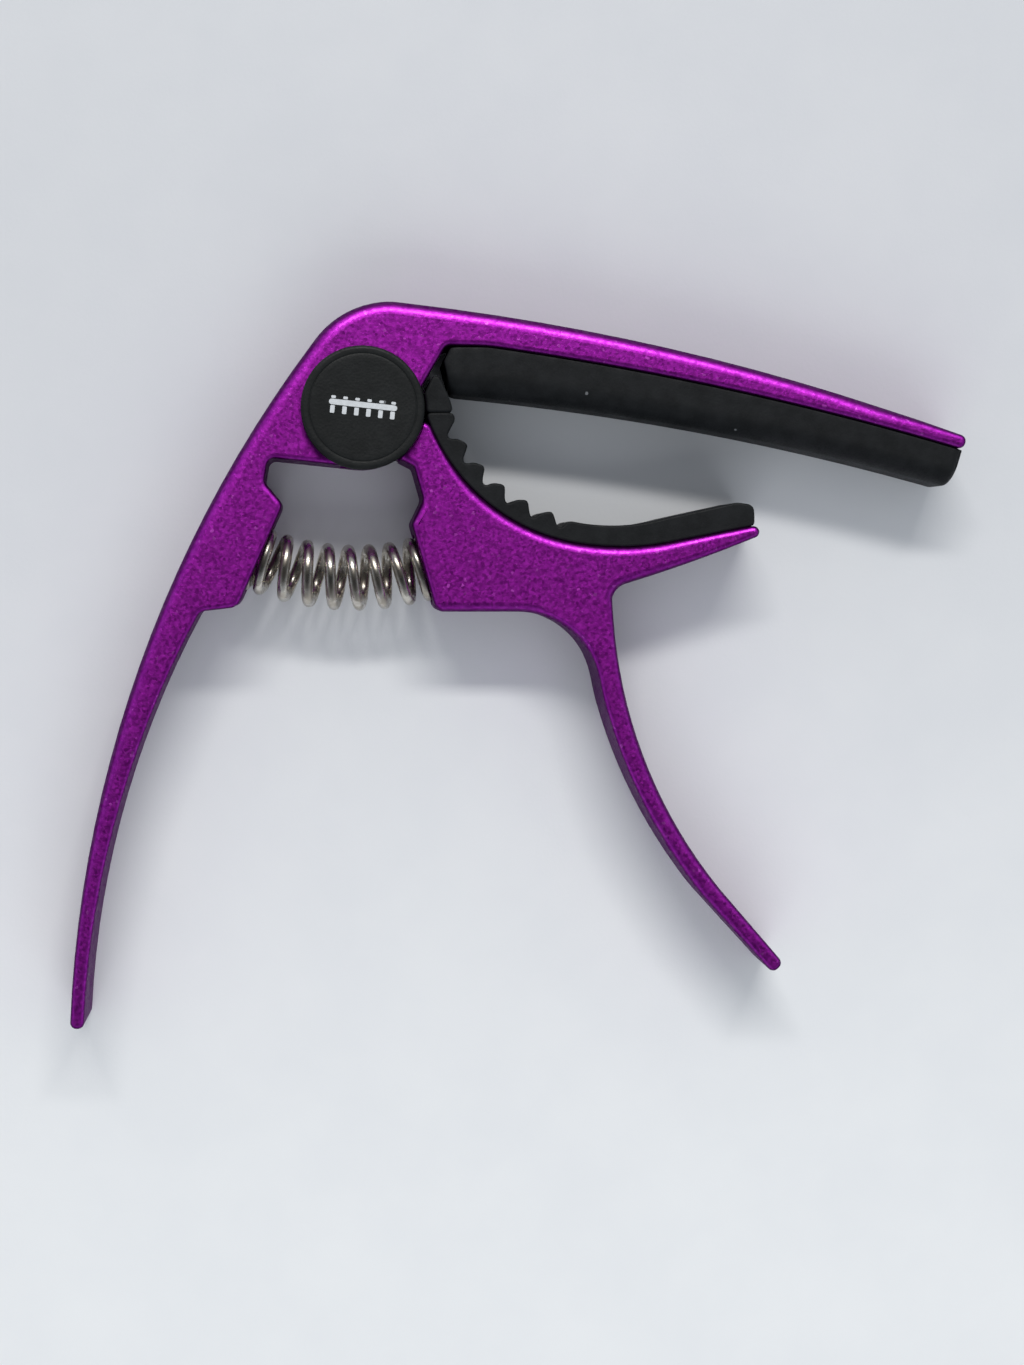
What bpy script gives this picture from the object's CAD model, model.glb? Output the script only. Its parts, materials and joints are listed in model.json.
"""Looks of a trigger guitar capo: flake paint, moulded rubber, a plated coil and a capped pivot.

Lengths are millimetres from the pivot axis in the plane of the arms, as a maker would measure
them, and heights are millimetres above the flat back. place() turns them into the model's own
metres.
"""

import json
import logging
import math
from dataclasses import dataclass
from enum import Enum
from functools import lru_cache

import bmesh
import bpy
from mathutils import Matrix, Vector


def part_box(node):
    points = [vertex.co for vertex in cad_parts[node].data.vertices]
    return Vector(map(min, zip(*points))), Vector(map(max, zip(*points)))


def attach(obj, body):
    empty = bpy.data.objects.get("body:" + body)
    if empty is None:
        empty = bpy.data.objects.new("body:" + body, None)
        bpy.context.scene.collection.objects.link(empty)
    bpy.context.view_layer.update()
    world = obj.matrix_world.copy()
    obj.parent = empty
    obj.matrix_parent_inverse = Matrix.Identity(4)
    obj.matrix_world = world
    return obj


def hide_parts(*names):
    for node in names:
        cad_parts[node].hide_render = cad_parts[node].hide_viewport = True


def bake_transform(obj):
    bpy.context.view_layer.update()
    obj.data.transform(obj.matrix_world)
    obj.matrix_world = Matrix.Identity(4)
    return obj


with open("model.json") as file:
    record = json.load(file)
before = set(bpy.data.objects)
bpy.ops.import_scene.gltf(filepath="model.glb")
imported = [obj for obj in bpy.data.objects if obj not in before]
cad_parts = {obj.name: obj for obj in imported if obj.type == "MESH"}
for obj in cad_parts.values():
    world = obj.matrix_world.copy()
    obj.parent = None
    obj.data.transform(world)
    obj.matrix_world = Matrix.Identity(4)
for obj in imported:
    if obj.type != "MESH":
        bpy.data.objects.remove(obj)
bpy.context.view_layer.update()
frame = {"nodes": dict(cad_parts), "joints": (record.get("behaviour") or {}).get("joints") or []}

MM = 0.001
WELD = 2e-6
SLACK = 5e-6
HINGE = next(joint for joint in frame["joints"] if joint["name"] == "lever_pivot")
PIVOT = Vector(HINGE["pos_m"])
log = logging.getLogger("capo")


class Body(Enum):
    """The two rigid bodies that pieces ride on."""

    FRAME = "frame"
    LEVER = "lever"


class Slot(Enum):
    """The record's material slots."""

    PAINT = "purple_paint"
    PLASTIC = "black_plastic"
    RUBBER = "black_rubber"
    SPRING = "spring_steel"
    STEEL = "plated_steel"
    BRONZE = "bronze"
    NYLON = "white_nylon"


# ---------------------------------------------------------------- places and meshes
def place(x: float, y: float, z: float) -> Vector:
    """A point in the model's frame.

    Args:
        x: millimetres from the pivot axis, along the arm.
        y: millimetres from the pivot axis, away from the handles.
        z: millimetres above the flat back.

    Returns:
        The same point in metres.
    """
    return Vector((PIVOT.x + x * MM, PIVOT.y + y * MM, z * MM))


def mesh_piece(name: str, points: list[Vector], faces: list[tuple[int, ...]]) -> bpy.types.Object:
    """A smooth-shaded mesh object at the origin, its faces turned outwards.

    Args:
        name: the piece's name.
        points: its vertices, in metres.
        faces: its faces, as vertex numbers.

    Returns:
        The linked object.
    """
    mesh = bpy.data.meshes.new(name)
    mesh.from_pydata([tuple(point) for point in points], [], faces)
    work = bmesh.new()
    work.from_mesh(mesh)
    bmesh.ops.remove_doubles(work, verts=work.verts, dist=1e-7)
    bmesh.ops.recalc_face_normals(work, faces=work.faces)
    work.to_mesh(mesh)
    work.free()
    mesh.shade_smooth()
    piece = bpy.data.objects.new(name, mesh)
    bpy.context.scene.collection.objects.link(piece)
    return piece


def outline_of(node: str, height: float) -> list[Vector]:
    """The outer edge loop of a CAD node at one height.

    Args:
        node: the CAD node's name.
        height: millimetres above the back where the node has an edge loop.

    Returns:
        The loop's points in order, anticlockwise seen from the front, in metres.
    """
    work = bmesh.new()
    work.from_mesh(frame["nodes"][node].data)
    bmesh.ops.remove_doubles(work, verts=work.verts, dist=WELD)
    level = height * MM
    work.verts.index_update()
    links: dict[int, set[int]] = {}
    for edge in work.edges:
        level_edge = all(abs(vert.co.z - level) < WELD for vert in edge.verts)
        if level_edge and not all(abs(face.normal.z) > 0.999 for face in edge.link_faces):
            a, b = (vert.index for vert in edge.verts)
            links.setdefault(a, set()).add(b)
            links.setdefault(b, set()).add(a)
    spots = [vert.co.copy() for vert in work.verts]
    work.free()
    loops: list[list[int]] = []
    while links:
        walk = [min(links)]
        while walk[-1] in links:
            here = walk[-1]
            after = min(links[here])
            for one, other in ((here, after), (after, here)):
                links[one].discard(other)
                if not links[one]:
                    del links[one]
            if after in walk:
                first = walk.index(after)
                loops.append(walk[first:])
                walk = walk[:first + 1]
            else:
                walk.append(after)
    longest = max(([spots[k] for k in loop] for loop in loops), key=loop_length)
    lead = longest.index(min(longest, key=lambda spot: (spot.x, spot.y)))
    longest = longest[lead:] + longest[:lead]
    area = sum(a.x * b.y - b.x * a.y for a, b in zip(longest, longest[1:] + longest[:1]))
    return longest if area > 0 else longest[:1] + longest[:0:-1]


def loop_length(loop: list[Vector]) -> float:
    """The length of a closed loop."""
    return sum((b - a).length for a, b in zip(loop, loop[1:] + loop[:1]))


def inset_loop(loop: list[Vector], inset: float, height: float) -> list[Vector]:
    """A loop moved inwards along its own normals, at another height.

    Args:
        loop: points in order, anticlockwise.
        inset: metres inwards.
        height: metres above the back.

    Returns:
        The moved points.
    """
    moved = []
    for before, here, after in zip(loop[-1:] + loop[:-1], loop, loop[1:] + loop[:1]):
        first = Vector((before.y - here.y, here.x - before.x)).normalized()
        second = Vector((here.y - after.y, after.x - here.x)).normalized()
        mean = first + second
        reach = min(2.0, 2.0 / max(mean.length_squared, 0.5))
        moved.append(Vector((here.x + mean.x * reach * inset, here.y + mean.y * reach * inset,
                             height)))
    return moved


def softened(loop: list[Vector], step: float, spread: float) -> list[Vector]:
    """A closed outline with every corner, hollow or proud, worn to a curve.

    Args:
        loop: points in order.
        step: metres between the points of the result.
        spread: how far along the outline a corner is spread, in metres.

    Returns:
        Evenly spaced points in the same order.
    """
    total = loop_length(loop)
    count = round(total / step)
    points, travelled, target = [], 0.0, 0.0
    for a, b in zip(loop, loop[1:] + loop[:1]):
        span = (b - a).length
        while span > 0 and target <= travelled + span and len(points) < count:
            points.append(a.lerp(b, (target - travelled) / span))
            target += total / count
        travelled += span
    # Each pass adds half of step squared to the square of the spread.
    for _ in range(round(2 * (spread / step) ** 2)):
        points = [before * 0.25 + here * 0.5 + after * 0.25 for before, here, after
                  in zip(points[-1:] + points[:-1], points, points[1:] + points[:1])]
    return points


def skin(rings: list[list[Vector]]) -> tuple[list[Vector], list[tuple[int, ...]]]:
    """A closed skin over rings of equal count, with a face over each end.

    Args:
        rings: loops of points, one after another.

    Returns:
        The points and the faces.
    """
    count = len(rings[0])
    points = [point for ring in rings for point in ring]
    faces: list[tuple[int, ...]] = []
    for row in range(len(rings) - 1):
        low, high = row * count, (row + 1) * count
        for k in range(count):
            step = (k + 1) % count
            faces.append((low + k, low + step, high + step, high + k))
    faces.append(tuple(reversed(range(count))))
    faces.append(tuple(range(len(points) - count, len(points))))
    return points, faces


def rounded_slab(loop: list[Vector], low: float, high: float, radius: float,
                 steps: int = 5) -> tuple[list[Vector], list[tuple[int, ...]]]:
    """A thick outline whose two rims are rounded.

    Args:
        loop: the outline, anticlockwise.
        low: height of the lower face, in metres.
        high: height of the upper face, in metres.
        radius: rounding of both rims, in metres.
        steps: facets across a rounding.

    Returns:
        The points and the faces.
    """
    levels = [(radius * 1.06, low)]
    for k in range(steps, -1, -1):
        angle = math.pi / 2 * k / steps
        levels.append((radius * (1 - math.cos(angle)), low + radius * (1 - math.sin(angle))))
    levels += [(inset, low + high - height) for inset, height in reversed(levels)]
    return skin([inset_loop(loop, inset, height) for inset, height in levels])


def circle_through(a: tuple[float, float], b: tuple[float, float],
                   c: tuple[float, float]) -> tuple[float, float, float]:
    """The circle through three points.

    Args:
        a: first point.
        b: second point.
        c: third point.

    Returns:
        The centre's x and y, and the radius.
    """
    d = 2 * (a[0] * (b[1] - c[1]) + b[0] * (c[1] - a[1]) + c[0] * (a[1] - b[1]))
    sa, sb, sc = (p[0] ** 2 + p[1] ** 2 for p in (a, b, c))
    x = (sa * (b[1] - c[1]) + sb * (c[1] - a[1]) + sc * (a[1] - b[1])) / d
    y = (sa * (c[0] - b[0]) + sb * (a[0] - c[0]) + sc * (b[0] - a[0])) / d
    return x, y, math.hypot(a[0] - x, a[1] - y)


def bow_height(x: float, bow: tuple[float, float, float]) -> float:
    """Height at x of a long shallow arc that is bowed upwards."""
    return bow[1] + math.sqrt(bow[2] ** 2 - (x - bow[0]) ** 2)


def dress(piece: bpy.types.Object, finish: "Finish") -> None:
    """Gives every material slot of a piece one finish.

    Args:
        piece: the piece.
        finish: its finish.
    """
    material = finish.material()
    if not piece.data.materials:
        piece.data.materials.append(material)
    for entry in piece.material_slots:
        entry.link = "OBJECT"
        entry.material = material


def ease(share: float) -> float:
    """A share from 0 to 1, eased at both ends and clamped."""
    held = min(max(share, 0.0), 1.0)
    return held * held * (3 - 2 * held)


def welded(mesh: bpy.types.Mesh) -> tuple[list[Vector], list[list[int]], list[Vector]]:
    """A mesh with its doubled points merged.

    Args:
        mesh: the mesh to read.

    Returns:
        The points, the faces, and one normal for each corner of each face.
    """
    numbers: dict[tuple[int, int, int], int] = {}
    points: list[Vector] = []
    merged = []
    for vert in mesh.vertices:
        key = tuple(round(c / 1e-6) for c in vert.co)
        if key not in numbers:
            numbers[key] = len(points)
            points.append(vert.co.copy())
        merged.append(numbers[key])
    faces, normals = [], []
    for face in mesh.polygons:
        corners = [merged[v] for v in face.vertices]
        if len(set(corners)) == len(corners):
            faces.append(corners)
            normals += [mesh.corner_normals[k].vector.copy() for k in face.loop_indices]
    return points, faces, normals


def rim_of(node: str, height: float) -> list[tuple[Vector, Vector, Vector]]:
    """The edges where a CAD node's walls meet its rounded rim.

    Args:
        node: the CAD node's name.
        height: millimetres above the back where the walls end.

    Returns:
        Each edge's two ends in metres, and the direction its wall faces.
    """
    work = bmesh.new()
    work.from_mesh(frame["nodes"][node].data)
    bmesh.ops.remove_doubles(work, verts=work.verts, dist=WELD)
    level, edges = height * MM, []
    for edge in work.edges:
        walls = [face for face in edge.link_faces if abs(face.normal.z) < 0.02]
        if walls and all(abs(vert.co.z - level) < WELD for vert in edge.verts):
            a, b = (vert.co.copy() for vert in edge.verts)
            edges.append((a, b, Vector(walls[0].normal.xy).normalized()))
    work.free()
    return edges


def nearest_on(rim: list[tuple[Vector, Vector, Vector]], point: Vector) -> tuple[Vector, Vector]:
    """The nearest place on a rim, in plan.

    Args:
        rim: the rim's edges, each with the direction it faces.
        point: the point to look from.

    Returns:
        The place, and the outward direction there.
    """
    best, found, facing = math.inf, Vector((0.0, 0.0)), Vector((0.0, 1.0))
    for a, b, outward in rim:
        dx, dy = b.x - a.x, b.y - a.y
        square = dx * dx + dy * dy
        if square < 1e-16:
            continue
        t = min(max(((point.x - a.x) * dx + (point.y - a.y) * dy) / square, 0.0), 1.0)
        x, y = a.x + dx * t, a.y + dy * t
        gap = (point.x - x) ** 2 + (point.y - y) ** 2
        if gap < best:
            best, found = gap, Vector((x, y))
            away = Vector((x - point.x, y - point.y))
            facing = away.normalized() if gap > 1e-10 else outward
    return found, facing


# ---------------------------------------------------------------- shader graphs
class Graph:
    """A node tree, with short ways to add nodes and join them."""

    def __init__(self, tree: bpy.types.NodeTree) -> None:
        """Starts from an empty tree.

        Args:
            tree: the tree to build in.
        """
        self.tree = tree
        self.column = 0
        tree.nodes.clear()

    def add(self, kind: str, inputs: dict[str | int, object] | None = None,
            **settings: object) -> bpy.types.Node:
        """One more node.

        Args:
            kind: the node's type name.
            inputs: values or source sockets for its inputs, by name or number.
            **settings: the node's own properties.

        Returns:
            The node.
        """
        node = self.tree.nodes.new(kind)
        self.column += 1
        node.location = (self.column * 180 - 1600, (self.column % 4) * -220)
        for key, value in settings.items():
            setattr(node, key, value)
        for key, value in (inputs or {}).items():
            if isinstance(value, bpy.types.NodeSocket):
                self.tree.links.new(value, node.inputs[key])
            else:
                node.inputs[key].default_value = value
        return node

    def math(self, operation: str, *values: object) -> bpy.types.NodeSocket:
        """One Math node.

        Args:
            operation: what it works out.
            *values: its inputs, as sockets or numbers.

        Returns:
            The result.
        """
        node = self.add("ShaderNodeMath", dict(enumerate(values)), operation=operation)
        return node.outputs[0]

    def spread(self, value: bpy.types.NodeSocket, low: float, high: float,
               to_low: float = 0.0, to_high: float = 1.0) -> bpy.types.NodeSocket:
        """A value mapped smoothly and clamped from one range to another.

        Args:
            value: the value to map.
            low: where the mapping starts.
            high: where it ends.
            to_low: the result at the start.
            to_high: the result at the end.

        Returns:
            The mapped value.
        """
        node = self.add("ShaderNodeMapRange", {0: value, 1: low, 2: high, 3: to_low, 4: to_high},
                        interpolation_type="SMOOTHSTEP")
        return node.outputs[0]

    def blend(self, mask: bpy.types.NodeSocket, a: object, b: object) -> bpy.types.NodeSocket:
        """Two colours mixed by a mask.

        Args:
            mask: 0 for the first colour, 1 for the second.
            a: the first colour, as a socket or a value.
            b: the second colour, as a socket or a value.

        Returns:
            The mixed colour.
        """
        node = self.add("ShaderNodeMix", {"Factor": mask, 6: a, 7: b}, data_type="RGBA")
        return node.outputs[2]


def shader_group(name: str, inputs: dict[str, tuple[str, float]],
                 outputs: dict[str, str]) -> tuple[bpy.types.NodeTree, Graph]:
    """An empty shader group with its sockets.

    Args:
        name: the group's name.
        inputs: socket type and default by name.
        outputs: socket type by name.

    Returns:
        The group's tree and a graph over it.
    """
    tree = bpy.data.node_groups.new(name, "ShaderNodeTree")
    graph = Graph(tree)
    for label, (kind, default) in inputs.items():
        socket = tree.interface.new_socket(label, in_out="INPUT", socket_type=kind)
        if kind == "NodeSocketFloat":
            socket.default_value = default
    for label, kind in outputs.items():
        tree.interface.new_socket(label, in_out="OUTPUT", socket_type=kind)
    return tree, graph


FLOAT, VECTOR = "NodeSocketFloat", "NodeSocketVector"


@lru_cache(maxsize=None)
def mottle_group() -> bpy.types.NodeTree:
    """Soft uneven patches: a mask from broad to fine, with an adjustable contrast.

    Returns:
        The group, made once.
    """
    tree, graph = shader_group(
        "mottle", {"Vector": (VECTOR, 0), "Scale": (FLOAT, 900.0), "Contrast": (FLOAT, 0.2)},
        {"Mask": FLOAT})
    start = graph.add("NodeGroupInput")
    cloud = graph.add("ShaderNodeTexNoise", {
        "Vector": start.outputs["Vector"], "Scale": start.outputs["Scale"], "Detail": 3.0,
        "Roughness": 0.62})
    low = graph.math("SUBTRACT", 0.5, start.outputs["Contrast"])
    high = graph.math("ADD", 0.5, start.outputs["Contrast"])
    mask = graph.add("ShaderNodeMapRange", {0: cloud.outputs["Fac"], 1: low, 2: high},
                     interpolation_type="SMOOTHSTEP")
    graph.add("NodeGroupOutput", {"Mask": mask.outputs[0]})
    return tree


@lru_cache(maxsize=None)
def grain_group() -> bpy.types.NodeTree:
    """Fine grain of a moulded or sprayed skin: a height and a mask of its pits.

    Returns:
        The group, made once.
    """
    tree, graph = shader_group(
        "grain", {"Vector": (VECTOR, 0), "Scale": (FLOAT, 4000.0)},
        {"Height": FLOAT, "Pits": FLOAT})
    start = graph.add("NodeGroupInput")
    cells = graph.add("ShaderNodeTexVoronoi", {
        "Vector": start.outputs["Vector"], "Scale": start.outputs["Scale"]}, feature="SMOOTH_F1")
    cells.inputs["Smoothness"].default_value = 0.6
    half = graph.math("MULTIPLY", start.outputs["Scale"], 0.45)
    swell = graph.add("ShaderNodeTexNoise", {
        "Vector": start.outputs["Vector"], "Scale": half, "Detail": 2.0})
    rise = graph.math("SUBTRACT", 1.0, cells.outputs["Distance"])
    height = graph.math("MULTIPLY_ADD", swell.outputs["Fac"], 0.8,
                        graph.math("MULTIPLY", rise, 0.5))
    pits = graph.spread(cells.outputs["Distance"], 0.35, 0.8)
    graph.add("NodeGroupOutput", {"Height": height, "Pits": pits})
    return tree


@lru_cache(maxsize=None)
def lint_group() -> bpy.types.NodeTree:
    """Sparse specks of dust: round flecks in a few cells of many.

    Returns:
        The group, made once.
    """
    tree, graph = shader_group(
        "lint", {"Vector": (VECTOR, 0), "Scale": (FLOAT, 900.0), "Share": (FLOAT, 0.05)},
        {"Mask": FLOAT})
    start = graph.add("NodeGroupInput")
    wobble = graph.add("ShaderNodeTexNoise", {
        "Vector": start.outputs["Vector"], "Scale": 2600.0, "Detail": 1.0})
    shift = graph.add("ShaderNodeVectorMath", {
        0: wobble.outputs["Color"], 1: (0.00012, 0.00012, 0.00012)}, operation="MULTIPLY")
    moved = graph.add("ShaderNodeVectorMath", {
        0: start.outputs["Vector"], 1: shift.outputs[0]}, operation="ADD")
    cells = graph.add("ShaderNodeTexVoronoi", {
        "Vector": moved.outputs[0], "Scale": start.outputs["Scale"]})
    fleck = graph.spread(cells.outputs["Distance"], 0.16, 0.1)
    channels = graph.add("ShaderNodeSeparateColor", {0: cells.outputs["Color"]})
    rare = graph.math("LESS_THAN", channels.outputs[0], start.outputs["Share"])
    graph.add("NodeGroupOutput", {"Mask": graph.math("MULTIPLY", fleck, rare)})
    return tree


@lru_cache(maxsize=None)
def turning_group() -> bpy.types.NodeTree:
    """Fine rings left by a lathe around the pivot axis: a height and a mask.

    Returns:
        The group, made once.
    """
    tree, graph = shader_group(
        "turning_marks", {"Vector": (VECTOR, 0), "Pitch": (FLOAT, 9000.0)},
        {"Height": FLOAT, "Mask": FLOAT})
    start = graph.add("NodeGroupInput")
    centred = graph.add("ShaderNodeVectorMath", {
        0: start.outputs["Vector"], 1: (PIVOT.x, PIVOT.y, 0.0)}, operation="SUBTRACT")
    flat = graph.add("ShaderNodeVectorMath", {
        0: centred.outputs[0], 1: (1.0, 1.0, 0.0)}, operation="MULTIPLY")
    reach = graph.add("ShaderNodeVectorMath", {0: flat.outputs[0]}, operation="LENGTH")
    line = graph.math("MULTIPLY", reach.outputs["Value"], start.outputs["Pitch"])
    rings = graph.add("ShaderNodeTexNoise", {"W": line, "Scale": 1.0, "Detail": 2.0},
                      noise_dimensions="1D")
    graph.add("NodeGroupOutput", {
        "Height": rings.outputs["Fac"], "Mask": graph.spread(rings.outputs["Fac"], 0.35, 0.65)})
    return tree


# ---------------------------------------------------------------- finishes
Colour = tuple[float, float, float, float]


@dataclass(frozen=True)
class Finish:
    """A surface finish. Its detail() wires what changes over the surface."""

    name: str
    roughness: float
    metallic: float = 0.0
    specular: float = 0.5

    def material(self) -> bpy.types.Material:
        """The finish's material, made the first time it is asked for.

        Returns:
            The material.
        """
        found = bpy.data.materials.get(self.name)
        if found:
            return found
        made = bpy.data.materials.new(self.name)
        made.use_nodes = True
        graph = Graph(made.node_tree)
        surface = graph.add("ShaderNodeBsdfPrincipled", {
            "Roughness": self.roughness, "Metallic": self.metallic,
            "Specular IOR Level": self.specular})
        graph.add("ShaderNodeOutputMaterial", {"Surface": surface.outputs[0]})
        where = graph.add("ShaderNodeTexCoord").outputs["Object"]
        self.detail(graph, surface, where)
        return made

    def detail(self, graph: Graph, surface: bpy.types.Node, where: bpy.types.NodeSocket) -> None:
        """Wires the colour, roughness and relief that change over the surface.

        Args:
            graph: the material's graph.
            surface: its Principled BSDF.
            where: the coordinates that patterns read.
        """
        raise NotImplementedError

    def link(self, graph: Graph, surface: bpy.types.Node, **sockets: bpy.types.NodeSocket) -> None:
        """Joins sockets to the shader's inputs.

        Args:
            graph: the material's graph.
            surface: its Principled BSDF.
            **sockets: a socket for each input, an underscore standing for a space.
        """
        for name, socket in sockets.items():
            graph.tree.links.new(socket, surface.inputs[name.replace("_", " ")])

    def group(self, graph: Graph, tree: bpy.types.NodeTree,
              **inputs: object) -> bpy.types.Node:
        """Places a shared group with its own values.

        Args:
            graph: the graph to place it in.
            tree: the group.
            **inputs: sockets or values by input name.

        Returns:
            The group's node.
        """
        node = graph.add("ShaderNodeGroup", node_tree=tree)
        for name, value in inputs.items():
            if isinstance(value, bpy.types.NodeSocket):
                graph.tree.links.new(value, node.inputs[name])
            else:
                node.inputs[name].default_value = value
        return node

    def relief(self, graph: Graph, surface: bpy.types.Node, height: bpy.types.NodeSocket,
               depth: float, strength: float = 1.0) -> None:
        """Raises the surface by a height.

        Args:
            graph: the material's graph.
            surface: its Principled BSDF.
            height: the height, from 0 to 1.
            depth: metres from lowest to highest.
            strength: how much of the relief shows.
        """
        bump = graph.add("ShaderNodeBump", {
            "Height": height, "Distance": depth, "Strength": strength})
        self.link(graph, surface, Normal=bump.outputs[0])


@dataclass(frozen=True)
class FlakePaint(Finish):
    """Satin paint over a sprayed metallic flake coat, which darkens as it turns away."""

    deep: Colour = (0.45, 0.021, 0.51, 1.0)
    bright: Colour = (0.69, 0.042, 0.76, 1.0)
    sparkle: Colour = (0.86, 0.13, 0.92, 1.0)
    turned: Colour = (0.13, 0.005, 0.15, 1.0)
    edge_tint: Colour = (0.30, 0.06, 0.34, 1.0)
    flake_scale: float = 3300.0
    mottle_scale: float = 1500.0
    mottle_contrast: float = 0.26
    flake_share: float = 0.38
    mottle_share: float = 0.58
    glints: tuple[float, float] = (0.982, 0.998)
    darkening: tuple[float, float] = (0.12, 0.42)
    peel_scale: float = 2200.0
    peel_depth: float = 0.00006
    flake_tilt: float = 0.35
    roughness_spread: float = 0.16
    coat: tuple[float, float] = (0.04, 0.38)
    coat_roughness: float = 0.25

    def detail(self, graph: Graph, surface: bpy.types.Node, where: bpy.types.NodeSocket) -> None:
        """Flakes of two sizes that catch the light, over a faint orange peel.

        Args:
            graph: the material's graph.
            surface: its Principled BSDF.
            where: the coordinates that patterns read.
        """
        flakes = graph.add("ShaderNodeTexVoronoi", {"Vector": where, "Scale": self.flake_scale})
        chance = graph.add("ShaderNodeSeparateColor", {0: flakes.outputs["Color"]})
        cloud = self.group(graph, mottle_group(), Vector=where, Scale=self.mottle_scale,
                           Contrast=self.mottle_contrast)
        lustre = graph.math("MULTIPLY_ADD", chance.outputs[0], self.flake_share,
                            graph.math("MULTIPLY", cloud.outputs["Mask"], self.mottle_share))
        flake = graph.blend(graph.spread(lustre, 0.05, 0.9), self.deep, self.bright)
        glint = graph.blend(graph.spread(chance.outputs[1], *self.glints), flake, self.sparkle)
        away = graph.add("ShaderNodeLayerWeight", {"Blend": 0.5}).outputs["Facing"]
        colour = graph.blend(graph.spread(away, *self.darkening), glint, self.turned)
        grain = self.group(graph, grain_group(), Vector=where, Scale=self.peel_scale)
        tilt = graph.math("MULTIPLY_ADD", chance.outputs[1], self.flake_tilt,
                          grain.outputs["Height"])
        rough = graph.math("MULTIPLY_ADD", chance.outputs[2], self.roughness_spread,
                           self.roughness - self.roughness_spread / 2)
        least, most = self.coat
        coat = graph.math("MULTIPLY_ADD", chance.outputs[0], most - least, least)
        self.link(graph, surface, Base_Color=colour, Roughness=rough, Coat_Weight=coat)
        self.relief(graph, surface, tilt, self.peel_depth, 0.4)
        surface.inputs["Specular Tint"].default_value = self.edge_tint
        surface.inputs["Coat Roughness"].default_value = self.coat_roughness


@dataclass(frozen=True)
class MouldedBlack(Finish):
    """Black moulded rubber or plastic, with a fine skin, faint handling marks and lint."""

    dark: Colour = (0.010, 0.0115, 0.0125, 1.0)
    light: Colour = (0.022, 0.025, 0.027, 1.0)
    bloom_scale: float = 420.0
    bloom_contrast: float = 0.22
    grain_scale: float = 5200.0
    grain_depth: float = 0.00003
    lint_scale: float = 700.0
    lint: Colour = (0.12, 0.125, 0.13, 1.0)
    lint_share: float = 0.02

    def detail(self, graph: Graph, surface: bpy.types.Node, where: bpy.types.NodeSocket) -> None:
        """Uneven bloom, pits of the mould's skin, and a few pale specks.

        Args:
            graph: the material's graph.
            surface: its Principled BSDF.
            where: the coordinates that patterns read.
        """
        bloom = self.group(graph, mottle_group(), Vector=where, Scale=self.bloom_scale,
                           Contrast=self.bloom_contrast)
        grain = self.group(graph, grain_group(), Vector=where, Scale=self.grain_scale)
        specks = self.group(graph, lint_group(), Vector=where, Scale=self.lint_scale,
                            Share=self.lint_share)
        bloomed = graph.blend(bloom.outputs["Mask"], self.dark, self.light)
        colour = graph.blend(specks.outputs["Mask"], bloomed, self.lint)
        worn = graph.math("MULTIPLY_ADD", bloom.outputs["Mask"], -0.08, self.roughness + 0.04)
        rough = graph.math("MULTIPLY_ADD", grain.outputs["Pits"], 0.12, worn)
        self.link(graph, surface, Base_Color=colour, Roughness=rough)
        self.relief(graph, surface, grain.outputs["Height"], self.grain_depth, 0.8)


@dataclass(frozen=True)
class PlatedWire(Finish):
    """Nickel-plated spring wire with faint drawing marks."""

    base: Colour = (0.66, 0.63, 0.57, 1.0)
    stained: Colour = (0.42, 0.38, 0.32, 1.0)
    tarnish_scale: float = 800.0
    ripple_scale: float = 3800.0
    ripple_depth: float = 0.000008

    def detail(self, graph: Graph, surface: bpy.types.Node, where: bpy.types.NodeSocket) -> None:
        """Slight tarnish in patches, and a soft ripple of the plating.

        Args:
            graph: the material's graph.
            surface: its Principled BSDF.
            where: the coordinates that patterns read.
        """
        tarnish = self.group(graph, mottle_group(), Vector=where, Scale=self.tarnish_scale,
                             Contrast=0.18)
        ripple = self.group(graph, grain_group(), Vector=where, Scale=self.ripple_scale)
        colour = graph.blend(tarnish.outputs["Mask"], self.base, self.stained)
        rough = graph.math("MULTIPLY_ADD", tarnish.outputs["Mask"], 0.12, self.roughness)
        self.link(graph, surface, Base_Color=colour, Roughness=rough)
        self.relief(graph, surface, ripple.outputs["Height"], self.ripple_depth, 0.5)


@dataclass(frozen=True)
class TurnedMetal(Finish):
    """Metal faced on a lathe, with fine rings about the pivot."""

    base: Colour = (0.60, 0.60, 0.61, 1.0)
    dull: Colour = (0.36, 0.36, 0.37, 1.0)
    ring_pitch: float = 7000.0
    ring_depth: float = 0.00001
    grime_scale: float = 600.0

    def detail(self, graph: Graph, surface: bpy.types.Node, where: bpy.types.NodeSocket) -> None:
        """Turning marks in the relief and roughness, and a little grime in patches.

        Args:
            graph: the material's graph.
            surface: its Principled BSDF.
            where: the coordinates that patterns read.
        """
        rings = self.group(graph, turning_group(), Vector=where, Pitch=self.ring_pitch)
        grime = self.group(graph, mottle_group(), Vector=where, Scale=self.grime_scale,
                           Contrast=0.2)
        colour = graph.blend(grime.outputs["Mask"], self.base, self.dull)
        rough = graph.math("MULTIPLY_ADD", rings.outputs["Mask"], 0.14, self.roughness)
        self.link(graph, surface, Base_Color=colour, Roughness=rough)
        self.relief(graph, surface, rings.outputs["Height"], self.ring_depth, 0.6)


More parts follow.
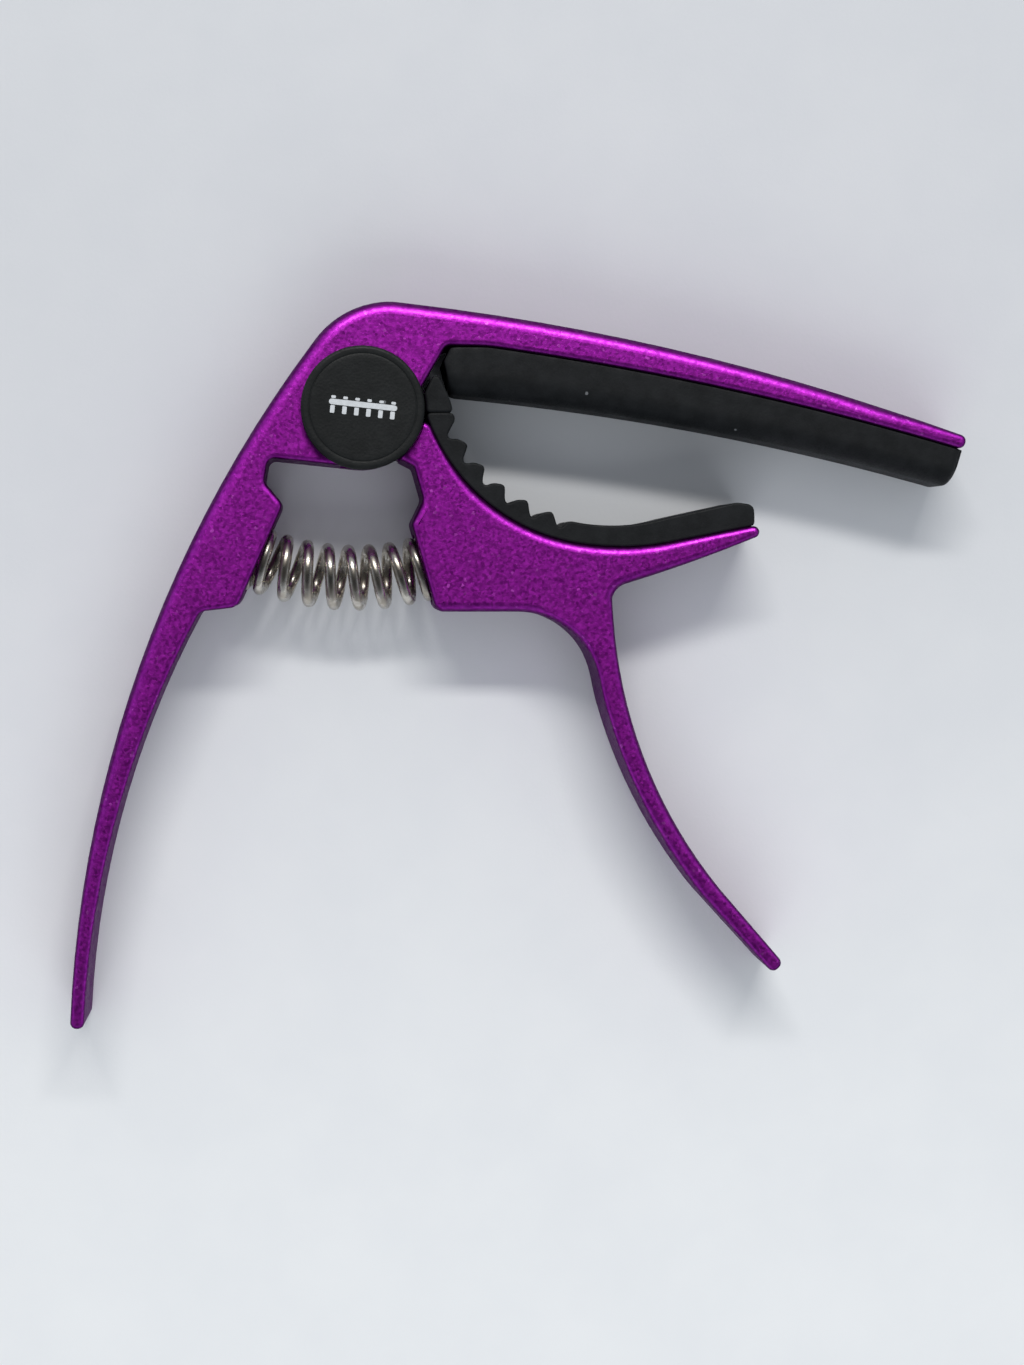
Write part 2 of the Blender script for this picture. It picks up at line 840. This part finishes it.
@dataclass(frozen=True)
class PaleMoulding(Finish):
    """Pale plastic or ink: a near-white skin, slightly uneven."""

    base: Colour = (0.62, 0.64, 0.65, 1.0)
    worn: Colour = (0.40, 0.42, 0.43, 1.0)
    thin_scale: float = 2600.0
    grain_scale: float = 5200.0
    grain_depth: float = 0.00002

    def detail(self, graph: Graph, surface: bpy.types.Node, where: bpy.types.NodeSocket) -> None:
        """Small thin spots, and the grain of what it lies on.

        Args:
            graph: the material's graph.
            surface: its Principled BSDF.
            where: the coordinates that patterns read.
        """
        thin = self.group(graph, mottle_group(), Vector=where, Scale=self.thin_scale,
                          Contrast=0.3)
        grain = self.group(graph, grain_group(), Vector=where, Scale=self.grain_scale)
        colour = graph.blend(graph.math("MULTIPLY", thin.outputs["Mask"], 0.5), self.base,
                             self.worn)
        self.link(graph, surface, Base_Color=colour)
        self.relief(graph, surface, grain.outputs["Height"], self.grain_depth, 0.6)


@dataclass(frozen=True)
class PaperSheet(Finish):
    """Plain pale paper."""

    far: Colour = (0.62, 0.63, 0.64, 1.0)
    near: Colour = (0.80, 0.81, 0.805, 1.0)
    cloud: Colour = (0.965, 0.968, 0.975, 1.0)
    far_edge: float = 0.05
    near_edge: float = -0.085
    cloud_scale: float = 60.0
    tooth_scale: float = 2500.0
    tooth_depth: float = 0.00003

    def detail(self, graph: Graph, surface: bpy.types.Node, where: bpy.types.NodeSocket) -> None:
        """Cloudy fibre tone, and a very fine tooth.

        Args:
            graph: the material's graph.
            surface: its Principled BSDF.
            where: the coordinates that patterns read.
        """
        cloud = self.group(graph, mottle_group(), Vector=where, Scale=self.cloud_scale,
                           Contrast=0.25)
        tooth = self.group(graph, grain_group(), Vector=where, Scale=self.tooth_scale)
        across = graph.add("ShaderNodeSeparateXYZ", {0: where}).outputs["Y"]
        tone = graph.blend(graph.spread(across, self.far_edge, self.near_edge), self.far,
                           self.near)
        veil = graph.blend(cloud.outputs["Mask"], (1.0, 1.0, 1.0, 1.0), self.cloud)
        paper = graph.add("ShaderNodeMix", {"Factor": 1.0, 6: tone, 7: veil}, data_type="RGBA",
                          blend_type="MULTIPLY")
        self.link(graph, surface, Base_Color=paper.outputs[2])
        self.relief(graph, surface, tooth.outputs["Height"], self.tooth_depth, 0.35)


PAINT = FlakePaint("flake_paint", roughness=0.48, metallic=1.0)
RUBBER = MouldedBlack("moulded_rubber", roughness=0.62, specular=0.3,
                      dark=(0.0042, 0.0052, 0.006, 1.0), light=(0.0085, 0.0098, 0.011, 1.0))
PLASTIC = MouldedBlack("moulded_plastic", roughness=0.52, specular=0.3,
                       dark=(0.006, 0.0072, 0.0072, 1.0), light=(0.0105, 0.012, 0.012, 1.0),
                       grain_scale=3600.0, grain_depth=0.00004, lint_share=0.012)
WIRE = PlatedWire("plated_wire", roughness=0.22, metallic=1.0)
STEEL = TurnedMetal("turned_steel", roughness=0.28, metallic=1.0)
BRONZE = TurnedMetal("sintered_bronze", roughness=0.42, metallic=1.0,
                     base=(0.62, 0.40, 0.19, 1.0), dull=(0.40, 0.25, 0.12, 1.0))
NYLON = PaleMoulding("pale_nylon", roughness=0.5, base=(0.70, 0.69, 0.64, 1.0),
                     worn=(0.60, 0.59, 0.54, 1.0))
INK = PaleMoulding("pale_ink", roughness=0.55)
PAPER = PaperSheet("pale_paper", roughness=0.85, specular=0.25)


# ---------------------------------------------------------------- castings and pivot
@dataclass
class Casting:
    """A painted casting, its outer rim rounded more fully than its inner one."""

    node: str
    name: str
    body: Body
    outward: tuple[tuple[float, float], ...]
    tips: tuple[tuple[float, float, float], ...]
    full_round: float
    cad_round: float = 0.6
    tip_round: float = 1.5
    outer_from: float = 0.1
    outer_over: float = 0.35

    def radius_at(self, spot: Vector, facing: Vector) -> float:
        """The rim's rounding where the outline passes a spot.

        Args:
            spot: a point of the outline, in metres.
            facing: the outline's outward direction there.

        Returns:
            The radius, in metres.
        """
        turned = max(facing.x * x + facing.y * y for x, y in self.outward)
        outer = ease((turned - self.outer_from) / self.outer_over)
        for x, y, reach in self.tips:
            tip = place(x, y, 0.0)
            from_tip = math.hypot(spot.x - tip.x, spot.y - tip.y) / MM
            outer *= ease((from_tip - self.tip_round) / (reach - self.tip_round))
        return (self.cad_round + (self.full_round - self.cad_round) * outer) * MM

    def build(self) -> bpy.types.Object:
        """Moves the CAD node's rim onto the fuller rounding, angle for angle.

        Returns:
            The casting, with the node's own normals.
        """
        low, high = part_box(self.node)
        edges = rim_of(self.node, high.z / MM - self.cad_round)
        rim = self.cad_round * MM
        points, faces, normals = welded(frame["nodes"][self.node].data)
        for point in points:
            upper = point.z > (low.z + high.z) / 2
            level = high.z - point.z if upper else point.z - low.z
            if level > rim + WELD:
                continue
            spot, facing = nearest_on(edges, point)
            inset = (spot - Vector((point.x, point.y))).length
            if inset > rim + SLACK:
                continue
            angle = math.atan2(rim - level, rim - inset)
            radius = self.radius_at(spot, facing)
            depth, level = radius * (1 - math.cos(angle)), radius * (1 - math.sin(angle))
            point.x, point.y = spot.x - facing.x * depth, spot.y - facing.y * depth
            point.z = high.z - level if upper else low.z + level
        mesh = bpy.data.meshes.new(self.name)
        mesh.from_pydata([tuple(point) for point in points], [], faces)
        mesh.shade_smooth()
        mesh.normals_split_custom_set(normals)
        casting = bpy.data.objects.new(self.name, mesh)
        bpy.context.scene.collection.objects.link(casting)
        return casting

    def dress(self, piece: bpy.types.Object) -> None:
        """Paints the casting and fixes it to its body.

        Args:
            piece: the casting.
        """
        dress(piece, PAINT)
        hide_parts(self.node)
        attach(piece, self.body.value)
        log.info("%s: %d faces", self.name, len(piece.data.polygons))


@dataclass
class PivotHardware:
    """Barrel, screw, washers and bush, which keep their CAD shape."""

    steel: tuple[str, ...] = ("pivot_barrel", "pivot_screw", "lock_washer")
    bronze: tuple[str, ...] = ("lever_bush",)
    nylon: tuple[str, ...] = ("front_thrust_washer", "rear_thrust_washer")

    def dress(self) -> None:
        """Finishes each piece of the pivot."""
        for nodes, finish in ((self.steel, STEEL), (self.bronze, BRONZE), (self.nylon, NYLON)):
            for node in nodes:
                dress(frame["nodes"][node], finish)
                log.info("finished %s", node)


@dataclass
class Cap:
    """Black cap over the pivot, with a pale printed mark of strings under a bar."""

    radius: float = 6.9
    face_radius: float = 6.0
    base: float = 10.02
    top: float = 11.1
    shoulder: float = 0.42
    shoulder_steps: int = 8
    rim_chamfer: float = 0.12
    spigot_radius: float = 4.28
    spigot_base: float = 9.25
    spigot_chamfer: float = 0.15
    groove: tuple[tuple[float, float], ...] = (
        (0.14, 0.0), (0.08, 0.02), (0.05, 0.09), (-0.05, 0.09), (-0.09, 0.03), (-0.17, 0.012),
        (-0.6, 0.02))
    dish: float = 0.02
    mark_width: float = 7.6
    mark_tilt: float = -5.7
    strings: int = 6
    bar_width: float = 0.62
    bar_rise: float = 0.28
    string_width: float = 0.5
    string_tops: tuple[float, float] = (0.67, 0.97)
    string_tails: tuple[float, float] = (-0.97, -0.11)
    film: float = 0.004
    segments: int = 160

    def profile(self) -> list[tuple[float, float]]:
        """The cap's half section, from the axis round to the axis.

        Returns:
            Points as (radius, height), in millimetres.
        """
        section = [
            (0.0, self.spigot_base),
            (self.spigot_radius - self.spigot_chamfer, self.spigot_base),
            (self.spigot_radius, self.spigot_base + self.spigot_chamfer),
            (self.spigot_radius, self.base),
            (self.radius - self.rim_chamfer, self.base),
            (self.radius, self.base + self.rim_chamfer)]
        centre_r, centre_z = self.radius - self.shoulder, self.top - self.shoulder
        for k in range(self.shoulder_steps + 1):
            angle = math.radians(90 * k / self.shoulder_steps)
            section.append((centre_r + self.shoulder * math.cos(angle),
                            centre_z + self.shoulder * math.sin(angle)))
        section += [(self.face_radius + out, self.top - drop) for out, drop in self.groove]
        section.append((0.0, self.top - self.dish))
        return section

    def build(self) -> bpy.types.Object:
        """Turns the section about the pivot axis.

        Returns:
            The cap.
        """
        section = self.profile()
        points: list[Vector] = []
        for k in range(self.segments):
            angle = 2 * math.pi * k / self.segments
            points += [place(r * math.cos(angle), r * math.sin(angle), z) for r, z in section]
        count, faces = len(section), []
        for k in range(self.segments):
            here, after = k * count, (k + 1) % self.segments * count
            for row in range(count - 1):
                faces.append((here + row, after + row, after + row + 1, here + row + 1))
        return mesh_piece("pivot_cap", points, faces)

    def bar(self, x: float, y: float, width: float, height: float,
            round_end: float) -> tuple[list[Vector], list[tuple[int, ...]]]:
        """One printed bar with rounded corners, a film on the cap's face.

        Args:
            x: its middle, along the mark.
            y: its middle, across the mark.
            width: its length along the mark.
            height: its length across the mark.
            round_end: radius of its corners.

        Returns:
            The points and the faces.
        """
        tilt = math.radians(self.mark_tilt)
        corners = ((1, 1, 0), (-1, 1, 90), (-1, -1, 180), (1, -1, 270))
        flat: list[tuple[float, float]] = []
        for sx, sy, start in corners:
            for k in range(6):
                angle = math.radians(start + 18 * k)
                flat.append((x + sx * (width / 2 - round_end) + round_end * math.cos(angle),
                             y + sy * (height / 2 - round_end) + round_end * math.sin(angle)))
        rings = []
        for level in (self.top - 0.03, self.top + self.film):
            rings.append([place(u * math.cos(tilt) - v * math.sin(tilt),
                                u * math.sin(tilt) + v * math.cos(tilt), level) for u, v in flat])
        return skin(rings)

    def mark(self) -> bpy.types.Object:
        """Six short strings crossed by a bar, as one printed film.

        Returns:
            The printed mark.
        """
        bars = [(0.0, self.bar_rise, self.mark_width, self.bar_width, 0.3)]
        pitch = (self.mark_width - 0.9) / (self.strings - 1)
        for k in range(self.strings):
            x = (k - (self.strings - 1) / 2) * pitch
            for low, high in (self.string_tops, self.string_tails):
                bars.append((x, (low + high) / 2, self.string_width, high - low, 0.1))
        points: list[Vector] = []
        faces: list[tuple[int, ...]] = []
        for one in bars:
            more, sides = self.bar(*one)
            faces += [tuple(v + len(points) for v in side) for side in sides]
            points += more
        piece = mesh_piece("cap_mark", points, faces)
        piece.data.shade_flat()
        return piece

    def dress(self, cap: bpy.types.Object, mark: bpy.types.Object) -> None:
        """Finishes the cap and its mark, and fixes them to the frame.

        Args:
            cap: the cap.
            mark: its printed mark.
        """
        dress(cap, PLASTIC)
        dress(mark, INK)
        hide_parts("front_cap")
        for piece in (cap, mark):
            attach(piece, Body.FRAME.value)
        log.info("cap and mark: %d faces", len(cap.data.polygons) + len(mark.data.polygons))


# ---------------------------------------------------------------- rubber
@dataclass
class StringPad:
    """Long pad under the arm: square against the casting, crowned towards the strings."""

    low: float = 0.5
    high: float = 9.5
    back_start: tuple[float, float] = (9.9, 7.02)
    back_root: tuple[float, float] = (14.0, 7.08)
    back_middle: tuple[float, float] = (41.0, 2.68)
    back_end: tuple[float, float] = (68.75, -4.02)
    face_start: tuple[float, float] = (9.95, 1.7)
    face_middle: tuple[float, float] = (38.0, -1.8)
    face_end: tuple[float, float] = (67.5, -8.3)
    crown: float = 3.5
    crown_across: float = 0.62
    back_round: float = 0.3
    end_round: float = 1.0
    end_steps: tuple[float, ...] = (0.0, 0.03, 0.08, 0.16, 0.28, 0.42, 0.6, 0.8, 1.0)
    side_inset: float = 0.5
    heel_inset: float = 0.35
    heel_bulge: float = 0.8
    heel_share: float = 0.12
    heel_peak: float = 0.69
    stations: int = 110

    def back_and_face(self, share: float) -> tuple[Vector, Vector]:
        """Matching points on the pad's back and on its string face.

        Args:
            share: 0 at the heel, 1 at the outer end.

        Returns:
            The back's point and the face's point, in millimetres.
        """
        back = circle_through(self.back_root, self.back_middle, self.back_end)
        face = circle_through(self.face_start, self.face_middle, self.face_end)
        x_back = self.back_start[0] + (self.back_end[0] - self.back_start[0]) * share
        if x_back < self.back_root[0]:
            part = (x_back - self.back_start[0]) / (self.back_root[0] - self.back_start[0])
            y_back = self.back_start[1] + (self.back_root[1] - self.back_start[1]) * part
        else:
            y_back = bow_height(x_back, back)
        x_face = self.face_start[0] + (self.face_end[0] - self.face_start[0]) * share
        return Vector((x_back, y_back)), Vector((x_face, bow_height(x_face, face)))

    def section(self, width: float, height: float) -> list[tuple[float, float]]:
        """A closed section: square corners at the back, crowned ones at the face.

        Args:
            width: between the pad's two sides.
            height: from the face to the back.

        Returns:
            Points as (height above the face, place between the sides).
        """
        crown_h = min(self.crown, height * 0.48)
        crown_w = min(self.crown * self.crown_across, width * 0.48)
        small = min(self.back_round, height * 0.2)
        points: list[tuple[float, float]] = []
        for k in range(13):
            angle = math.pi / 2 * k / 12
            points.append((crown_h * (1 - math.cos(angle)),
                           width - crown_w * (1 - math.sin(angle))))
        for k in range(4):
            points.append((crown_h + (height - crown_h - small) * (k + 1) / 5, width))
        for k in range(5):
            angle = math.pi / 2 * k / 4
            points.append((height - small * (1 - math.sin(angle)),
                           width - small * (1 - math.cos(angle))))
        return points + [(h, width - w) for h, w in reversed(points)]

    def build(self) -> bpy.types.Object:
        """Lofts the section from the heel to the outer end.

        Returns:
            The pad.
        """
        depth = self.high - self.low
        length = self.back_end[0] - self.back_start[0]
        shares = [self.end_round * step / length for step in self.end_steps]
        inner = [shares[-1] + (1 - 2 * shares[-1]) * k / self.stations
                 for k in range(1, self.stations)]
        rings = []
        for share in shares + inner + [1 - s for s in reversed(shares)]:
            from_end = min(share, 1 - share) * length
            gone = max(0.0, self.end_round - from_end)
            inset = self.end_round - math.sqrt(max(self.end_round ** 2 - gone ** 2, 0.0))
            inset *= self.heel_inset if share < 0.5 else 1.0
            back, face = self.back_and_face(share)
            up = (back - face).normalized()
            along = Vector((up.y, -up.x))
            height = (back - face).length - inset
            narrowed = min(inset, self.side_inset)
            ring = []
            for rise, across in self.section(depth - 2 * narrowed, height):
                level = rise + inset
                bulge = 0.0
                if share < self.heel_share:
                    lift = level / (height + inset)
                    tent = min(lift / self.heel_peak, (1 - lift) / (1 - self.heel_peak))
                    bulge = -self.heel_bulge * tent * (1 - share / self.heel_share)
                spot = face + up * level + along * bulge
                ring.append(place(spot.x, spot.y, self.low + narrowed + across))
            rings.append(ring)
        points, faces = skin(rings)
        return mesh_piece("string_pad", points, faces)

    def dress(self, pad: bpy.types.Object) -> None:
        """Finishes the pad and fixes it under the arm.

        Args:
            pad: the pad.
        """
        dress(pad, RUBBER)
        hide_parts("upper_pad")
        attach(pad, Body.FRAME.value)
        log.info("string pad: %d faces", len(pad.data.polygons))


@dataclass
class SlabRubber:
    """A rubber moulding cut to a CAD node's outline, with softened rims."""

    name: str
    node: str
    cad_round: float
    rim: float
    wear: float
    step: float = 0.08
    body: Body = Body.LEVER

    def build(self) -> bpy.types.Object:
        """Rounds the rims of the CAD node's outline.

        Returns:
            The moulding.
        """
        low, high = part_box(self.node)
        loop = outline_of(self.node, high.z / MM - self.cad_round)
        loop = softened(loop, self.step * MM, self.wear * MM)
        points, faces = rounded_slab(loop, low.z, high.z, self.rim * MM)
        return mesh_piece(self.name, points, faces)

    def dress(self, piece: bpy.types.Object) -> None:
        """Finishes the moulding and fixes it to its casting.

        Args:
            piece: the moulding.
        """
        dress(piece, RUBBER)
        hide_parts(self.node)
        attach(piece, self.body.value)
        log.info("%s: %d faces", self.name, len(piece.data.polygons))


# ---------------------------------------------------------------- spring
@dataclass
class Coil:
    """Plated compression spring, bowed between its two seats."""

    start: tuple[float, float] = (-12.16, -16.757)
    end: tuple[float, float] = (7.537, -17.736)
    start_heading: float = -23.5
    end_heading: float = 15.6
    middle: float = 5.0
    radius: float = 3.15
    wire: float = 0.64
    turns: float = 8.7
    first_phase: float = -0.15
    seat_share: float = 0.2
    sides: int = 20
    rows: int = 560

    def tree(self) -> bpy.types.NodeTree:
        """A tree that winds a wire about a bowed axis, close at both ends.

        Returns:
            The Geometry Nodes tree.
        """
        tree = bpy.data.node_groups.new("wind_spring", "GeometryNodeTree")
        graph = Graph(tree)
        tree.interface.new_socket("Geometry", in_out="INPUT",
                                  socket_type="NodeSocketGeometry")
        for label in ("Turns", "Radius", "Wire", "Bow", "First Angle", "Turn Angle",
                      "Close Share", "Centre X", "Centre Y", "Centre Z", "Phase"):
            tree.interface.new_socket(label, in_out="INPUT", socket_type="NodeSocketFloat")
        tree.interface.new_socket("Rows", in_out="INPUT", socket_type="NodeSocketInt")
        tree.interface.new_socket("Finish", in_out="INPUT", socket_type="NodeSocketMaterial")
        tree.interface.new_socket("Geometry", in_out="OUTPUT",
                                  socket_type="NodeSocketGeometry")
        given = graph.add("NodeGroupInput").outputs
        line = graph.add("GeometryNodeCurvePrimitiveLine")
        wire = graph.add("GeometryNodeResampleCurve", {"Curve": line.outputs[0],
                                                       "Count": given["Rows"]})
        along = graph.add("GeometryNodeSplineParameter").outputs["Factor"]
        turn = graph.math("MULTIPLY", along, given["Turns"])
        inner = graph.math("SUBTRACT", given["Turns"], 2.0)
        opened = graph.math("MINIMUM", graph.math("MAXIMUM", graph.math("SUBTRACT", turn, 1.0),
                                                  0.0), inner)
        last = graph.math("MAXIMUM", graph.math("SUBTRACT", turn,
                                                graph.math("SUBTRACT", given["Turns"], 1.0)), 0.0)
        closed = graph.math("ADD", graph.math("MINIMUM", turn, 1.0), last)
        pitch = graph.math("DIVIDE", graph.math("MULTIPLY_ADD", given["Close Share"], -2.0, 1.0),
                           inner)
        share = graph.math("ADD", graph.math("MULTIPLY", closed, given["Close Share"]),
                           graph.math("MULTIPLY", opened, pitch))
        angle = graph.math("MULTIPLY_ADD", share, given["Turn Angle"], given["First Angle"])
        phase = graph.math("MULTIPLY", graph.math("ADD", turn, given["Phase"]), 2 * math.pi)
        reach = graph.math("MULTIPLY_ADD", graph.math("COSINE", phase), given["Radius"],
                           given["Bow"])
        x = graph.math("MULTIPLY_ADD", graph.math("COSINE", angle), reach, given["Centre X"])
        y = graph.math("MULTIPLY_ADD", graph.math("SINE", angle), reach, given["Centre Y"])
        z = graph.math("SUBTRACT", given["Centre Z"],
                       graph.math("MULTIPLY", graph.math("SINE", phase), given["Radius"]))
        spot = graph.add("ShaderNodeCombineXYZ", {0: x, 1: y, 2: z})
        wound = graph.add("GeometryNodeSetPosition", {"Geometry": wire.outputs[0],
                                                      "Position": spot.outputs[0]})
        round_wire = graph.add("GeometryNodeCurvePrimitiveCircle", {
            "Resolution": self.sides, "Radius": given["Wire"]})
        tube = graph.add("GeometryNodeCurveToMesh", {
            "Curve": wound.outputs[0], "Profile Curve": round_wire.outputs[0],
            "Fill Caps": True})
        smooth = graph.add("GeometryNodeSetShadeSmooth", {"Geometry": tube.outputs[0]})
        real = graph.add("GeometryNodeRealizeInstances", {"Geometry": smooth.outputs[0]})
        painted = graph.add("GeometryNodeSetMaterial", {"Geometry": real.outputs[0],
                                                        "Material": given["Finish"]})
        graph.add("NodeGroupOutput", {"Geometry": painted.outputs[0]})
        return tree

    def values(self) -> dict[str, object]:
        """The tree's inputs for this spring.

        Returns:
            Values by input name, in metres and radians.
        """
        start, end = place(*self.start, self.middle), place(*self.end, self.middle)
        chord = end - start
        turn = math.radians(self.end_heading - self.start_heading)
        bow = chord.length / (2 * math.sin(turn / 2))
        across = Vector((-chord.y, chord.x, 0)).normalized()
        centre = (start + end) / 2 + across * bow * math.cos(turn / 2)
        heading = math.atan2(chord.y, chord.x)
        return {
            "Turns": self.turns, "Radius": self.radius * MM, "Wire": self.wire * MM, "Bow": bow,
            "First Angle": heading - math.pi / 2 - turn / 2, "Turn Angle": turn,
            "Close Share": 2 * self.wire * MM / (bow * turn), "Centre X": centre.x,
            "Centre Y": centre.y, "Centre Z": centre.z, "Phase": self.first_phase,
            "Rows": self.rows, "Finish": WIRE.material(),
        }

    def build(self) -> bpy.types.Object:
        """Winds the spring and keeps it as a plain mesh.

        Returns:
            The spring.
        """
        carrier = bpy.data.objects.new("coil_carrier", bpy.data.meshes.new("coil_carrier"))
        bpy.context.scene.collection.objects.link(carrier)
        wind = carrier.modifiers.new("wind", "NODES")
        wind.node_group = self.tree()
        values = self.values()
        for item in wind.node_group.interface.items_tree:
            if item.in_out == "INPUT" and item.name in values:
                wind[item.identifier] = values[item.name]
        bpy.context.view_layer.update()
        shaped = carrier.evaluated_get(bpy.context.evaluated_depsgraph_get())
        mesh = bpy.data.meshes.new_from_object(shaped)
        mesh.name = "coil_spring"
        bpy.data.objects.remove(carrier)
        piece = bpy.data.objects.new("coil_spring", mesh)
        bpy.context.scene.collection.objects.link(piece)
        return piece

    def dress(self, spring: bpy.types.Object) -> None:
        """Finishes the spring and lets it close up between the two castings.

        Args:
            spring: the spring.
        """
        dress(spring, WIRE)
        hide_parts("compression_spring")
        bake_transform(spring)
        log.info("spring: %d faces", len(spring.data.polygons))


# ---------------------------------------------------------------- stage
@dataclass
class Stage:
    """Pale paper, a long window beyond the arm, a room that is darkest overhead, the camera."""

    half_floor: float = 6.0
    floor_gap: float = 0.00003
    camera_at: tuple[float, float, float] = (-0.0229, 0.0119, 0.260)
    camera_right: tuple[float, float, float] = (0.99629, 0.00472, 0.08596)
    camera_up: tuple[float, float, float] = (0.0, 0.99849, -0.05484)
    lens: float = 58.6
    key_from: tuple[float, float, float] = (0.0, 0.62, 0.62)
    key_size: tuple[float, float] = (0.6, 0.08)
    key_power: float = 5.0
    key_tint: tuple[float, float, float] = (1.0, 0.985, 0.97)
    return_from: tuple[float, float, float] = (0.05, -0.6, 0.5)
    return_size: tuple[float, float] = (0.9, 0.5)
    return_power: float = 2.6
    return_tint: tuple[float, float, float] = (0.92, 0.96, 1.0)
    sky: tuple[float, float, float] = (0.86, 0.91, 1.0)
    horizon_strength: float = 0.46
    zenith_strength: float = 0.46
    zenith_sheen: float = 0.02

    def floor(self) -> None:
        """A sheet of paper just under the capo."""
        half = self.half_floor
        corners = [Vector((x, y, -self.floor_gap)) for x, y in
                   ((-half, -half), (half, -half), (half, half), (-half, half))]
        sheet = mesh_piece("paper_floor", corners, [(0, 1, 2, 3)])
        dress(sheet, PAPER)

    def light(self, name: str, at: tuple[float, float, float], size: tuple[float, float],
              power: float, tint: tuple[float, float, float], mirrored: bool = True) -> None:
        """A soft light panel aimed at the capo.

        Args:
            name: the light's name.
            at: where it stands, in metres.
            size: its width and height, in metres.
            power: its power, in watts.
            tint: its colour.
            mirrored: whether shiny surfaces reflect it.
        """
        lamp = bpy.data.lights.new(name, "AREA")
        lamp.shape = "RECTANGLE"
        lamp.size, lamp.size_y = size
        lamp.energy, lamp.color = power, tint
        holder = bpy.data.objects.new(name, lamp)
        holder.location = at
        holder.rotation_euler = Vector(at).to_track_quat("Z", "Y").to_euler()
        holder.visible_glossy = mirrored
        bpy.context.scene.collection.objects.link(holder)

    def lights(self) -> None:
        """The window, a weak return from the other side, and the room."""
        self.light("window", self.key_from, self.key_size, self.key_power, self.key_tint)
        self.light("room_return", self.return_from, self.return_size, self.return_power,
                   self.return_tint, mirrored=False)
        world = bpy.data.worlds.new("room")
        world.use_nodes = True
        graph = Graph(world.node_tree)
        heading = graph.add("ShaderNodeTexCoord").outputs["Generated"]
        height = graph.add("ShaderNodeSeparateXYZ", {0: heading}).outputs["Z"]
        soft = graph.spread(height, -0.1, 1.0, self.horizon_strength, self.zenith_strength)
        sharp = graph.spread(height, 0.0, 0.95, self.horizon_strength, self.zenith_sheen)
        mirrored = graph.add("ShaderNodeLightPath").outputs["Is Glossy Ray"]
        strength = graph.add("ShaderNodeMix", {"Factor": mirrored, 2: soft, 3: sharp}).outputs[0]
        room = graph.add("ShaderNodeBackground", {"Color": (*self.sky, 1.0), "Strength": strength})
        graph.add("ShaderNodeOutputWorld", {"Surface": room.outputs[0]})
        bpy.context.scene.world = world

    def camera(self) -> None:
        """A camera over the capo, a little left of and below its middle."""
        lens = bpy.data.cameras.new("camera")
        lens.lens, lens.sensor_width = self.lens, 36.0
        lens.clip_start, lens.clip_end = 0.01, 10.0
        holder = bpy.data.objects.new("camera", lens)
        right, up = Vector(self.camera_right).normalized(), Vector(self.camera_up).normalized()
        back = right.cross(up).normalized()
        turned = Matrix((right, up, back)).transposed().to_4x4()
        holder.matrix_world = Matrix.Translation(self.camera_at) @ turned
        bpy.context.scene.collection.objects.link(holder)
        bpy.context.scene.camera = holder

    def build(self) -> None:
        """Sets the whole stage."""
        self.floor()
        self.lights()
        self.camera()
        bpy.context.scene.view_settings.view_transform = "Standard"
        log.info("stage set")


def main() -> None:
    """Builds and dresses the capo, piece by piece."""
    Stage().build()
    for casting in (
            Casting("frame_casting", "frame_skin", Body.FRAME, outward=((-0.5, 0.87),),
                    tips=((69.2, -3.2, 11.0), (-32.0, -69.8, 34.0)), full_round=1.5),
            Casting("trigger_lever", "lever_skin", Body.LEVER,
                    outward=((0.25, -0.97), (0.1, 0.99)),
                    tips=((45.3, -13.4, 17.0), (47.9, -63.9, 24.0), (7.6, -1.8, 9.0)),
                    full_round=1.1)):
        casting.dress(casting.build())
    PivotHardware().dress()
    cap = Cap()
    cap.dress(cap.build(), cap.mark())
    string_pad = StringPad()
    string_pad.dress(string_pad.build())
    for rubber in (SlabRubber("jaw_pad", "lower_pad", cad_round=0.2, rim=0.25, wear=0.24),
                   SlabRubber("heel_block", "heel_bumper", cad_round=0.3, rim=0.3, wear=0.15)):
        rubber.dress(rubber.build())
    coil = Coil()
    coil.dress(coil.build())


if __name__ == "__main__":
    logging.basicConfig(level=logging.INFO, format="%(name)s: %(message)s")
    main()
